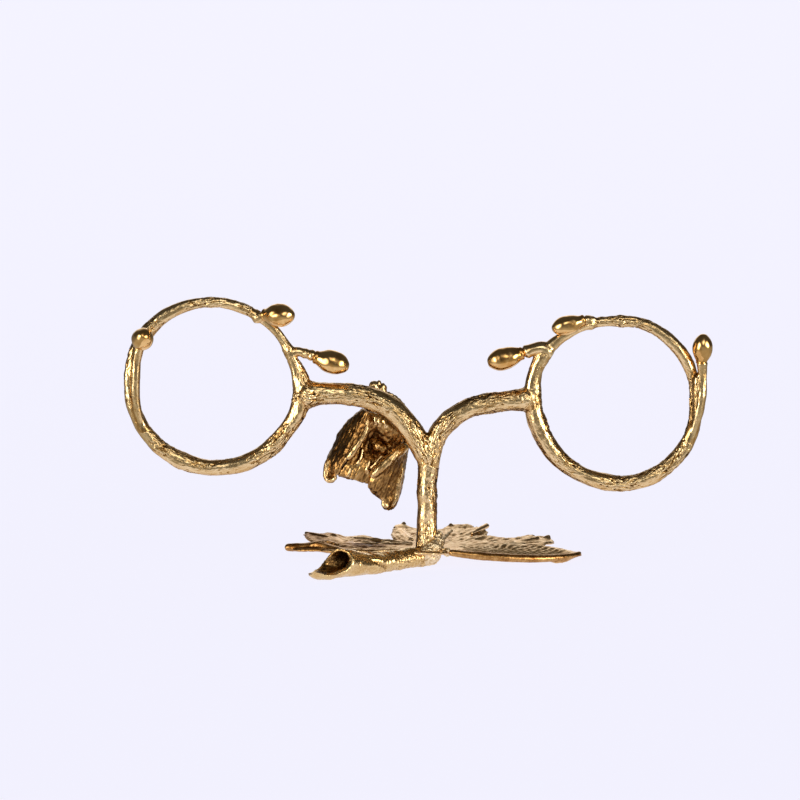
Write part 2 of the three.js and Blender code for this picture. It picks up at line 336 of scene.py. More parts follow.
def gilt_brass(name, colours, roughness, grain, depth, mottle):
    """Brass cast from wax, gilt, dipped in dark patina and rubbed back, so that hollows stay dark.

    colours are (share of patina, colour) from rubbed metal to full patina, and a colour is a hex
    code or already linear. roughness is (rubbed, dark). grain is how wide the fine cast texture
    is and depth how deep, in millimetres. mottle is how uneven the rubbing is. Where the skin is
    fine, the metal is also glossier.
    """
    material = bpy.data.materials.new(name)
    material.use_nodes = True
    tree = material.node_tree
    tree.nodes.clear()
    place = add_node(tree, "ShaderNodeAttribute", attribute_name="grain").outputs["Vector"]
    patina = add_node(tree, "ShaderNodeAttribute", attribute_name="patina").outputs["Fac"]
    coarse = add_node(tree, "ShaderNodeAttribute", attribute_name="coarse").outputs["Fac"]
    along = add_node(
        tree, "ShaderNodeVectorMath", {0: place, 1: (1.0, 1.0, 0.45)}, operation="MULTIPLY"
    ).outputs[0]
    fine = add_node(
        tree,
        "ShaderNodeTexNoise",
        {"Vector": along, "Scale": 1 / grain, "Detail": 2.5, "Roughness": 0.62},
    ).outputs["Fac"]
    blotch = add_node(
        tree,
        "ShaderNodeTexNoise",
        {"Vector": along, "Scale": 0.16 / grain, "Detail": 3.0, "Roughness": 0.6},
    ).outputs["Fac"]
    speckle = add_node(tree, "ShaderNodeMath", {0: fine, 1: blotch}, operation="ADD").outputs[0]
    uneven = add_node(
        tree, "ShaderNodeMath", {0: speckle, 1: -mottle, 2: mottle}, operation="MULTIPLY_ADD"
    ).outputs[0]
    dark = add_node(
        tree, "ShaderNodeMath", {0: uneven, 1: patina}, operation="ADD", use_clamp=True
    ).outputs[0]
    worn = add_node(
        tree, "ShaderNodeMapRange", {"Value": dark, "To Min": roughness[0], "To Max": roughness[1]}
    ).outputs["Result"]
    dulling = add_node(
        tree, "ShaderNodeMapRange", {"Value": coarse, "To Min": 0.62}
    ).outputs["Result"]
    dullness = add_node(
        tree, "ShaderNodeMath", {0: worn, 1: dulling}, operation="MULTIPLY"
    ).outputs[0]
    bump = add_node(
        tree, "ShaderNodeBump", {"Height": fine, "Distance": depth * MM, "Strength": coarse}
    ).outputs["Normal"]
    tint = add_node(tree, "ShaderNodeValToRGB", {"Fac": dark})
    stops = tint.color_ramp.elements
    while len(stops) < len(colours):
        stops.new(0.5)
    for stop, (share, colour) in zip(stops, colours):
        stop.position = share
        stop.color = linear(colour) if isinstance(colour, str) else colour
    shader = add_node(
        tree,
        "ShaderNodeBsdfPrincipled",
        {
            "Base Color": tint.outputs["Color"],
            "Metallic": 1.0,
            "Roughness": dullness,
            "Normal": bump,
        },
    )
    output = add_node(tree, "ShaderNodeOutputMaterial")
    tree.links.new(shader.outputs["BSDF"], output.inputs["Surface"])
    return material


# ---- Twigs ---------------------------------------------------------------------------------------

# The hoops' centres come from the frame. Angles are in degrees round each hoop's centre.
LEFT_LOW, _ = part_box("left_hoop")
RIGHT_LOW, RIGHT_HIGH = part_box("right_hoop")
LEFT_CENTRE = ((LEFT_LOW.x - FOOT.x) / MM + 25.85, (LEFT_LOW.z - FOOT.z) / MM + 25.7)
RIGHT_CENTRE = ((RIGHT_HIGH.x - FOOT.x) / MM - 24.55, (RIGHT_LOW.z - FOOT.z) / MM + 25.7)


def round_hoop(centre, angles, reach, sway=0.8):
    """Points round a hoop's centre between two angles, reach mm from it, swaying a little back."""
    points = []
    for turn, far in zip(np.linspace(*angles, len(reach)), reach):
        angle = math.radians(turn)
        back = sway * math.sin(math.pi * (turn - angles[0]) / (angles[1] - angles[0]))
        points.append((centre[0] + far * math.cos(angle), back, centre[1] + far * math.sin(angle)))
    return points


# name: (points, radii from root to tip, knots as (place, swell, half length), bark's coarseness)
TWIGS = {
    "stem": (
        [(0.2, 0, 2.5), (0, 0, 13), (0.1, 0, 23), (0.4, 0, 29), (0.6, 0, 35)],
        [3.7, 2.9, 2.75, 2.9, 3.3],
        [(0.55, 0.15, 1.5), (0.9, 0.3, 2.5)],
        0.85,
    ),
    "left_arm": (
        [
            (0.4, 0, 29.5), (-2.6, 0, 35.9), (-5.7, 0, 40.4), (-9.3, 0, 44.3), (-13.2, 0, 46.7),
            (-17.8, 0, 48.1), (-24, 0, 49), (-30, 0, 49), (-36.2, 0, 48.6),
        ],
        [2.9, 3.2, 3.3, 3.2, 3.1, 3.1, 3.05, 3.1, 3.0],
        [(0.5, 0.2, 1.6), (0.68, 0.25, 1.0), (0.985, 1.9, 3.4)],
        1.0,
    ),
    "right_arm": (
        [
            (0.7, 0, 29.5), (2.1, 0, 35.3), (4, 0, 38.9), (7.2, 0, 42.2), (11.6, 0, 44.8),
            (16.4, 0, 46.1), (22, 0, 46.9), (30.4, 0, 47.6),
        ],
        [2.8, 2.9, 2.9, 2.85, 2.85, 2.9, 2.9, 2.8],
        [(0.35, 0.15, 1.4), (0.66, 0.15, 1.6), (0.98, 1.4, 2.8)],
        0.95,
    ),
    "left_hoop": (
        round_hoop(
            LEFT_CENTRE,
            (18, -308),
            [
                23.4, 24.3, 24.7, 24.0, 24.1, 24.05, 23.85, 23.95, 23.8, 23.8, 23.75,
                23.85, 23.7, 23.8, 23.55, 23.35, 23.0, 22.75, 22.65, 22.85,
            ],
        ),
        [
            1.2, 2.5, 2.6, 2.35, 2.45, 2.4, 2.25, 2.35, 2.4, 2.1, 2.0,
            1.75, 1.65, 2.0, 2.1, 1.85, 1.55, 1.45, 1.6, 1.5,
        ],
        [
            (0.2, 0.15, 1.6), (0.41, 0.2, 1.8), (0.47, 0.15, 1.2), (0.63, 0.15, 1.5),
            (0.88, 0.15, 1.4),
        ],
        0.85,
    ),
    "right_hoop": (
        round_hoop(
            RIGHT_CENTRE,
            (157, 480),
            [
                23.4, 23.2, 22.8, 22.6, 22.7, 22.9, 23.2, 23.6, 24.1, 24.3, 24.15, 23.95,
                23.5, 22.7, 22.6, 22.7, 22.55, 22.6, 22.4, 22.0, 22.3, 22.8,
            ],
        ),
        [
            1.5, 2.4, 2.5, 2.7, 2.6, 2.45, 2.35, 2.35, 2.25, 2.25, 2.1, 2.0,
            2.0, 1.75, 1.6, 1.8, 1.85, 1.7, 1.7, 1.65, 1.45, 1.4,
        ],
        [
            (0.12, 0.2, 1.6), (0.33, 0.15, 1.5), (0.52, 0.1, 1.2), (0.9, 0.25, 1.0),
            (0.965, 0.4, 0.9),
        ],
        0.9,
    ),
    "left_shoot": (
        round_hoop(LEFT_CENTRE, (-6, 62), [24.6, 23.1, 22.8, 22.7, 22.7], 0),
        [2.6, 1.6, 1.3, 1.3, 1.2],
        [(0.44, 0.4, 2.2)],
        0.3,
    ),
    "right_shoot": (
        round_hoop(RIGHT_CENTRE, (184, 106), [23.2, 23.6, 23.7, 23.3, 22.6, 22.0], 0),
        [2.4, 2.2, 2.0, 1.65, 1.3, 1.0],
        [(0.46, 0.35, 2.0)],
        0.4,
    ),
    "left_inner_bud_stalk": (
        [(-39.2, 0, 59.6), (-36.6, -0.2, 60.9), (-34.2, -0.3, 60.4), (-30.6, -0.4, 59.3)],
        [1.5, 1.4, 1.3, 1.35, 1.6],
        [(0.6, 0.3, 0.35), (0.8, 0.35, 0.4)],
        0.2,
    ),
    "right_inner_bud_stalk": (
        [(35.2, 0, 59.9), (32.4, -0.2, 61.7), (29.6, -0.3, 61.5), (26.4, -0.4, 60.3)],
        [2.3, 2.1, 1.9, 1.85, 1.95],
        [(0.85, 0.35, 0.45)],
        0.25,
    ),
    "left_side_bud_stalk": (
        [
            (-79.4, 0.2, 39.5), (-80.9, -0.9, 44), (-81.5, -1.6, 51), (-81.1, -1.9, 58),
            (-79.9, -2.3, 63.9),
        ],
        [1.0, 1.25, 1.3, 1.3, 1.5],
        [],
        0.3,
    ),
    "right_side_bud_stalk": (
        [
            (74.0, 0.1, 36.5), (75.8, -0.8, 42.5), (76.6, -1.1, 47.5), (76.9, -1.2, 53),
            (76.8, -1.4, 58.8),
        ],
        [1.0, 1.35, 1.4, 1.35, 1.55],
        [(0.55, 0.15, 1.5), (0.97, 0.3, 0.7)],
        0.3,
    ),
    # short stubs under the top buds, and webs of wax that fill the notches between twigs
    "left_top_bud_stalk": ([(-48.8, 0, 69.7), (-45.2, -0.7, 71.2)], [1.4, 1.6], [], 0.3),
    "right_top_bud_stalk": ([(47.4, 0, 69.4), (43.4, -0.6, 69.9)], [1.3, 1.6], [], 0.3),
    "right_side_web": (
        [(75.5, -0.4, 41), (75.8, -0.9, 48), (75.5, -0.9, 54.6)],
        [1.2, 1.5, 1.3],
        [],
        0.8,
    ),
    "crotch_web": ([(0.9, 0, 32.5), (0.9, 0, 37.4)], [3.0, 2.3], [], 0.8),
}
# Where one casting meets the next: the place, the direction across which they part, and how far the
# cut reaches, either to all sides or to the sides, to the front and back, and up and down.
SEAMS = [
    ((0.4, 0, 32.2), (0, 0, 1), 9),
    ((0.9, 0, 38), (1, 0, 0), (9.5, 9.5, 5.81)),
    ((-33.2, 0, 49), (1, 0, 0), 7),
    ((27.6, 0, 47.5), (1, 0, 0), 7),
    ((-35.6, 0, 54.6), (-0.08, 0, 1), 3.6),
    ((-46.4, 0, 70.9), (0.82, 0, -0.57), 3.0),
    ((29.8, 0, 52.4), (0.1, 0, 1), 3.8),
    ((42.8, 0, 67.2), (0.89, 0, 0.45), 3.4),
]
# The way gone along a twig starts this much later for each twig, so that no two share their bark.
# The stem is the first, and no longer than this.
TWIG_OFFSET = 70.0
STEM_LENGTH = 36.0
# Crumbs of fewer faces than this are left out, and faces with more sides than this are cuts' caps.
FEWEST_FACES = 300
MOST_SIDES = 12


def twig_field():
    """A search tree over the twigs' lines, with each place's axes, way gone, bark and radius."""
    places, sides, fronts, gone, coarse, radius = [], [], [], [], [], []
    for index, (points, radii, knots, coarseness) in enumerate(TWIGS.values()):
        line = course(points)
        tangent = np.gradient(line, axis=0)
        tangent /= np.linalg.norm(tangent, axis=1)[:, None]
        front = np.array([0.0, 1.0, 0.0]) - tangent * tangent[:, 1:2]
        front /= np.linalg.norm(front, axis=1)[:, None]
        places.append(line)
        fronts.append(front)
        sides.append(np.cross(tangent, front))
        steps = np.linalg.norm(np.diff(line, axis=0), axis=1)
        gone.append(np.concatenate([[0], np.cumsum(steps)]) + TWIG_OFFSET * index)
        coarse.append(np.full(len(line), coarseness))
        radius.append(widths(line, radii, knots))
    tree = KDTree(sum(map(len, places)))
    for index, place in enumerate(np.concatenate(places)):
        tree.insert(place, index)
    tree.balance()
    return tree, *map(np.concatenate, (places, sides, fronts, gone, coarse, radius))


def grow_bark(obj):
    """Roughens the twigs' skin into bark that runs along each twig."""
    tree, places, sides, fronts, gone, coarse, radius = twig_field()
    rows = coordinates(obj)
    nearest = np.fromiter((tree.find(row)[1] for row in rows.tolist()), int, len(rows))
    away = rows - places[nearest]
    around = np.stack([(away * sides[nearest]).sum(1), (away * fronts[nearest]).sum(1)], 1)
    grain = np.column_stack([around, gone[nearest]])
    patch = smooth_step(rough(grain, 4, 4, 9, seed=3.1), -0.35, 0.45)
    coarseness = coarse[nearest] * (0.35 + 0.9 * patch)
    lumps = rough(rows, 4.6, 4.6, 4.6, seed=1.7)
    facets = rough(grain, 1.5, 1.5, 6.0, seed=8.2)
    flakes = rough(grain, 0.55, 0.55, 1.3, seed=5.3)
    grit = rough(grain, 0.34, 0.34, 0.5, seed=6.4)
    fissure = np.exp(-((rough(grain, 0.95, 0.95, 4.2, seed=2.9) / 0.11) ** 2)) * patch
    pits = smooth_step(rough(grain, 0.7, 0.7, 1.1, seed=7.5), 0.34, 0.6)
    height = 0.18 * lumps + 0.17 * facets - coarseness * (0.17 * fissure + 0.15 * pits)
    push_out(obj, height + coarseness * (0.16 * flakes + 0.09 * grit))
    # painted shade: twigs darker down their sides seen from the front, most of all the stem
    painted_side_shade = smooth_step(np.abs(around[:, 0]) / radius[nearest], 0.5, 0.95)
    painted_side_shade = painted_side_shade * np.where(grain[:, 2] < STEM_LENGTH, 0.85, 0.33) * (0.75 + 0.5 * flakes)
    cracks = coarseness * (0.5 * fissure + 0.6 * pits)
    # patina in the cracks, plus the painted side shade
    age(obj, grain, 0.25 + 0.75 * coarseness, 0.15, 9.0, cracks + painted_side_shade)


def nearest_piece(pieces, place):
    """The piece whose skin comes closest to a place."""
    return min(pieces, key=lambda piece: min((v.co - place).length for v in piece.data.vertices))


def split_at_seams(obj):
    """Parts the fused twigs where castings meet, and closes every cut. Returns the loose pieces."""
    take(obj)
    for point, across, reach in SEAMS:
        close = np.all(np.abs(coordinates(obj) - np.array(point)) < reach, axis=1)
        bpy.ops.object.mode_set(mode="EDIT")
        bpy.ops.mesh.select_all(action="DESELECT")
        bpy.ops.object.mode_set(mode="OBJECT")
        obj.data.vertices.foreach_set("select", close)
        bpy.ops.object.mode_set(mode="EDIT")
        bpy.ops.mesh.bisect(
            plane_co=at(point), plane_no=across, use_fill=False, threshold=0.001 * MM
        )
        bpy.ops.mesh.edge_split(type="EDGE")
        bpy.ops.object.mode_set(mode="OBJECT")
    bpy.ops.object.mode_set(mode="EDIT")
    bpy.ops.mesh.separate(type="LOOSE")
    bpy.ops.object.mode_set(mode="OBJECT")
    pieces = []
    for piece in list(bpy.context.selected_objects):
        # a crumb between two cuts is no casting
        if len(piece.data.polygons) < FEWEST_FACES:
            bpy.data.objects.remove(piece)
            continue
        pieces.append(take(piece))
        bpy.ops.object.mode_set(mode="EDIT")
        bpy.ops.mesh.select_all(action="SELECT")
        bpy.ops.mesh.fill_holes(sides=0)
        # each cap becomes a fan of triangles
        bpy.ops.mesh.select_face_by_sides(number=MOST_SIDES, type="GREATER", extend=False)
        bpy.ops.mesh.poke()
        bpy.ops.object.mode_set(mode="OBJECT")
    return pieces


# ---- Buds ----------------------------------------------------------------------------------------

# name: (base, tip, radius) in millimetres
BUDS = {
    "left_side_bud": ((-79.8, -1.9, 63.0), (-78.3, -9.4, 66.8), 3.1),
    "left_top_bud": ((-45.8, -0.7, 71.2), (-37.0, -5.0, 71.3), 3.3),
    "left_inner_bud": ((-31.6, -0.4, 59.5), (-21.6, -1.0, 56.5), 3.4),
    "right_inner_bud": ((27.0, -0.4, 60.5), (16.7, -1.0, 57.5), 3.25),
    "right_top_bud": ((44.0, -0.6, 69.8), (34.6, -1.6, 67.2), 2.75),
    "right_side_bud": ((76.5, -1.3, 57.4), (77.1, -1.8, 66.2), 2.8),
}
# share of the length from base to tip, and share of the bud's radius
BUD_OUTLINE = [
    (0.00, 0.42), (0.02, 0.55), (0.06, 0.58), (0.10, 0.54), (0.17, 0.66), (0.28, 0.86),
    (0.42, 0.98), (0.57, 1.00), (0.71, 0.93), (0.84, 0.74), (0.94, 0.46), (0.985, 0.2),
]


def grow_bud(base, tip, radius):
    """A plump bud with a collar at its base, grown ring by ring from its base to its tip."""
    start, end = at(base), at(tip)
    axis = end - start
    deselect()
    bpy.ops.mesh.primitive_circle_add(
        vertices=24,
        radius=radius * BUD_OUTLINE[0][1] * MM,
        fill_type="NGON",
        location=start,
        rotation=axis.to_track_quat("Z", "Y").to_euler(),
    )
    bud = bpy.context.object
    bpy.ops.object.mode_set(mode="EDIT")
    for (low, narrow), (high, wide) in zip(BUD_OUTLINE, BUD_OUTLINE[1:]):
        bpy.ops.mesh.extrude_region_move(TRANSFORM_OT_translate={"value": axis * (high - low)})
        bpy.ops.transform.resize(value=(wide / narrow,) * 3, center_override=start + axis * high)
    bpy.ops.mesh.select_all(action="SELECT")
    bpy.ops.mesh.normals_make_consistent(inside=False)
    bpy.ops.object.mode_set(mode="OBJECT")
    settle(bud)
    apply_modifier(bud, "SUBSURF", levels=3, render_levels=3)
    rows = coordinates(bud)
    seed = 0.37 * sum(base)
    wide_dents = rough(rows, 3.4, 3.4, 3.4, seed=seed)
    small_dents = rough(rows, 1.3, 1.3, 1.3, seed=seed)
    push_out(bud, 0.2 * wide_dents + 0.07 * small_dents)
    way = np.array(axis.normalized())
    along = ((rows - np.array(base)) @ way) / (axis.length / MM)
    collar = 1 - smooth_step(along, 0.08, 0.2)
    smears = 0.3 * rough(rows, 2.2, 2.2, 2.2, seed=seed + 4)
    age(bud, rows, 0.25 + 0.6 * collar, 0.12, 2.0, 0.22 * collar + smears)
    return bud


# ---- Leaf ----------------------------------------------------------------------------------------

# direction in degrees, length and half width in mm, rise of the tip in mm, tilt to its left side
LOBES = [
    (15, 45.6, 7.4, 0.5, 0.17),
    (42, 49.5, 9.2, 1.5, 0.04),
    (74, 47, 10, 3.2, 0.0),
    (99, 43.0, 6.0, 3.6, 0.0),
    (136, 49, 8.0, 2.6, 0.0),
    (160, 42.0, 3.8, 2.0, 0.0),
]
HUB_RADIUS = 7.0
HUB_HEIGHT = 4.7
# Rolled margins and folds that stand out of the blade: (points, radii). The first is the front one.
LEAF_ROLLS = [
    (
        [
            (6.0, -3.0, 4.5), (13.7, -2.9, 3.5), (23.9, -1.0, 2.5), (32.9, 2.1, 1.85),
            (40.0, 6.3, 1.7), (44.0, 10.5, 2.0),
        ],
        [1.0, 1.15, 1.2, 1.15, 1.0, 0.65],
    ),
    (
        [
            (-22, 8, 2.4), (-28, 10.3, 3.4), (-31, 11.5, 4.1), (-33.5, 12.4, 3.5),
            (-36.5, 13.4, 3.2), (-40.6, 14.5, 2.9),
        ],
        [1.0, 1.3, 1.4, 1.35, 1.25, 1.1],
    ),
    (
        [(-35.4, 34, 3.9), (-31.5, 30.5, 3.8), (-28, 27, 3.6), (-24, 21, 3.4), (-20, 15, 3.6)],
        [0.55, 0.7, 0.65, 0.55, 0.4],
    ),
    ([(-7.9, 41, 4.5), (-6.2, 31, 4.3), (-3.9, 19, 4.6)], [0.55, 0.4, 0.35]),
    ([(-9.2, 38, 4.5), (-8.2, 41.5, 4.6)], [0.6, 0.8]),
    ([(13, 27, 4.9), (15.8, 33, 5.2), (18.2, 38, 5.5)], [0.5, 0.75, 0.85]),
    ([(26, 22, 3.3), (30, 26, 3.4), (33, 29.5, 3.5)], [0.3, 0.4, 0.3]),
]
# Thick veins round the hub: (points, radii)
LEAF_VEINS = [
    ([(-4, 6, 5.0), (-12, 12, 4.4), (-20, 16.5, 3.8)], [0.6, 0.5, 0.4]),
    ([(-4, 8, 5.0), (-12, 17, 4.5), (-21, 25, 4.1)], [0.6, 0.5, 0.4]),
    ([(-9, 9, 4.7), (-13, 15, 4.5)], [0.45, 0.35]),
    ([(-14, 12.5, 4.3), (-18, 19, 4.1)], [0.45, 0.35]),
]
# Small lumps on the blade: (x, y, radius)
LEAF_LUMPS = [(-27, 29.5, 0.8), (-6.4, 41.5, 0.7), (7.4, 42, 0.6), (27, 31, 0.7), (35.6, 31.5, 0.8)]


def lobe_reach(angle, lobe):
    """How far a lobe, an ellipse that starts at the hub, reaches from it in a direction, in mm."""
    direction, length, half_width = lobe[:3]
    turn = angle - math.radians(direction)
    c = np.maximum(np.cos(turn), 1e-3)
    a = length / 2
    over = half_width**2 * c * c + a * a * (1 - c * c)
    return 2 * a * half_width**2 * c / over * (np.cos(turn) > 0)


def leaf_place(x, y):
    """Each place's lobe, the way on and across it, its numbers, and the share gone to the rim."""
    angle = np.arctan2(y, x)
    reach = np.stack([lobe_reach(angle, lobe) for lobe in LOBES])
    owner = reach.argmax(0)
    to_rim = np.hypot(x, y) / np.maximum(reach.max(0), HUB_RADIUS)
    direction, length, half, rise, tilt = np.array(LOBES)[owner].T
    turn = np.radians(direction)
    forward = x * np.cos(turn) + y * np.sin(turn)
    across = y * np.cos(turn) - x * np.sin(turn)
    return owner, forward, across, length, half, rise, tilt, to_rim


def leaf_height(x, y):
    """Height of the blade's middle over the table, in mm."""
    owner, forward, across, length, half, rise, tilt, _ = leaf_place(x, y)
    onward = np.clip(forward / length, 0, 1.1)
    arch = np.cos(math.pi / 2 * np.clip(onward * 1.25, 0, 1))
    height = 1.0 + (HUB_HEIGHT - 1.0) * arch + rise * smooth_step(onward, 0.35, 1.0)
    out = smooth_step(onward, 0.3, 0.6)
    cup = 0.5 * np.minimum((across / half) ** 2, 1.5)
    wave = 0.35 * np.sin(forward * 0.5 + owner * 1.9 + across * 0.4)
    return height + out * (cup + wave + tilt * across)


def leaf_relief(x, y):
    """Height of the veins, in mm: each midrib is a furrow, and side veins leave it aslant."""
    owner, forward, across, length, _, _, _, to_rim = leaf_place(x, y)
    side = np.abs(across)
    onward = forward / length
    rib = np.exp(-((across / 0.5) ** 2)) * smooth_step(onward, 0.1, 0.3)
    slant = np.where(owner == 0, 1.0, 0.35)
    spacing = np.where(owner == 0, 2.4, 2.0)
    veins = np.sin((forward * slant - side) * 2 * math.pi / spacing)
    veins = veins * np.where(owner == 0, 0.22, 0.12) * (1 - rib) * smooth_step(side, 0.3, 1.5)
    inner = 1 - smooth_step(to_rim, 0.82, 0.96)
    return (veins * smooth_step(onward, 0.12, 0.3) - 0.3 * rib) * inner


def leaf_mesh():
    """The blade: a disc drawn out into lobes and arched, with rolled margins, folds and lumps."""
    blade, around, inward = flat_grid(700, 60)
    angle = around * 2 * math.pi
    reach = np.stack([lobe_reach(angle, lobe) for lobe in LOBES]).max(0)
    teeth = 0.03 * np.abs(np.sin(angle * 23)) + 0.015 * np.sin(angle * 57)
    reach = reach * (1 - teeth * smooth_step(angle, 0.25, 0.5))
    reach = np.maximum(reach, HUB_RADIUS) * (1 - 0.99 * inward)
    x, y = np.cos(angle) * reach, np.sin(angle) * reach
    move_to(blade, np.column_stack([x, y, leaf_height(x, y)]))
    bpy.ops.object.mode_set(mode="EDIT")
    bpy.ops.mesh.select_all(action="SELECT")
    bpy.ops.mesh.remove_doubles(threshold=0.02 * MM)
    bpy.ops.mesh.fill_holes(sides=0)
    bpy.ops.object.mode_set(mode="OBJECT")
    apply_modifier(blade, "SOLIDIFY", thickness=1.0 * MM, offset=0)
    ridges = [tube("margin", points, radii) for points, radii in LEAF_ROLLS + LEAF_VEINS]
    lumps = [ball((x, y, leaf_height(x, y) + 0.4), radius) for x, y, radius in LEAF_LUMPS]
    return join([blade, *ridges, *lumps], "leaf_blade")


# ---- Leaf stalk and braze ------------------------------------------------------------------------

# (points, radii) of the stalk, of the bore that hollows it, and of the blade's rim that runs on it
LEAF_STALK = (
    [
        (3.5, 1, 3.5), (-3, -3, 3.2), (-12, -10, 2.9), (-17, -14, 3.0), (-22, -17.6, 4.0),
        (-27, -20.6, 4.2), (-33.4, -23.1, 3.2),
    ],
    [2.9, 3.0, 2.8, 2.75, 3.0, 3.9, 4.3, 3.4],
)
STALK_BORE = ([(-16, -13.1, 3.6), (-24, -18.8, 4.7), (-36, -24.0, 4.7)], [1.2, 3.0, 3.3])
STALK_RIM = (
    [(-17, -13, 5.7), (-11, -8.6, 5.2), (-5.5, -4.4, 5.3), (-1, -1.0, 5.9)],
    [0.5, 0.65, 0.65, 0.6],
)
# A lying cylinder tears the stalk's mouth open, and leaves a tongue under it.
TEAR_RADIUS, TEAR_LENGTH = 5.6, 40
TEAR_MIDDLE = (-30.2, -21.4, 7.4)
# The line of a dent across the stalk, and the line inside its mouth where patina stays
STALK_DENT = [(-18.8, -19.5, 6.9), (-15.5, -16.4, 4.8), (-11.4, -13.0, 2.0)]
STALK_MOUTH = [(-22, -17.4, 4.5), (-24, -18.8, 4.7), (-36, -24, 4.7)]
STALK_DETAIL = 0.22

# Lumps of the braze: (place, radius). A thread of it, (points, radii), runs out along the blade.
BRAZE_LUMPS = [
    ((0.6, -2.3, 3.9), 3.3), ((2.0, -2.1, 5.5), 2.8), ((3.0, -1.6, 7.3), 2.0),
    ((3.1, -1.2, 9.2), 1.2), ((5.5, -2.6, 4.5), 1.25), ((7.4, -2.6, 4.2), 0.9),
]
BRAZE_THREAD = (
    [(2.8, 3.5, 5.2), (4.4, 12, 5.4), (6.2, 20, 5.7), (7.6, 27, 5.9)],
    [0.5, 0.45, 0.4, 0.3],
)
BRAZE_DETAIL = 0.2


# ---- Flower --------------------------------------------------------------------------------------

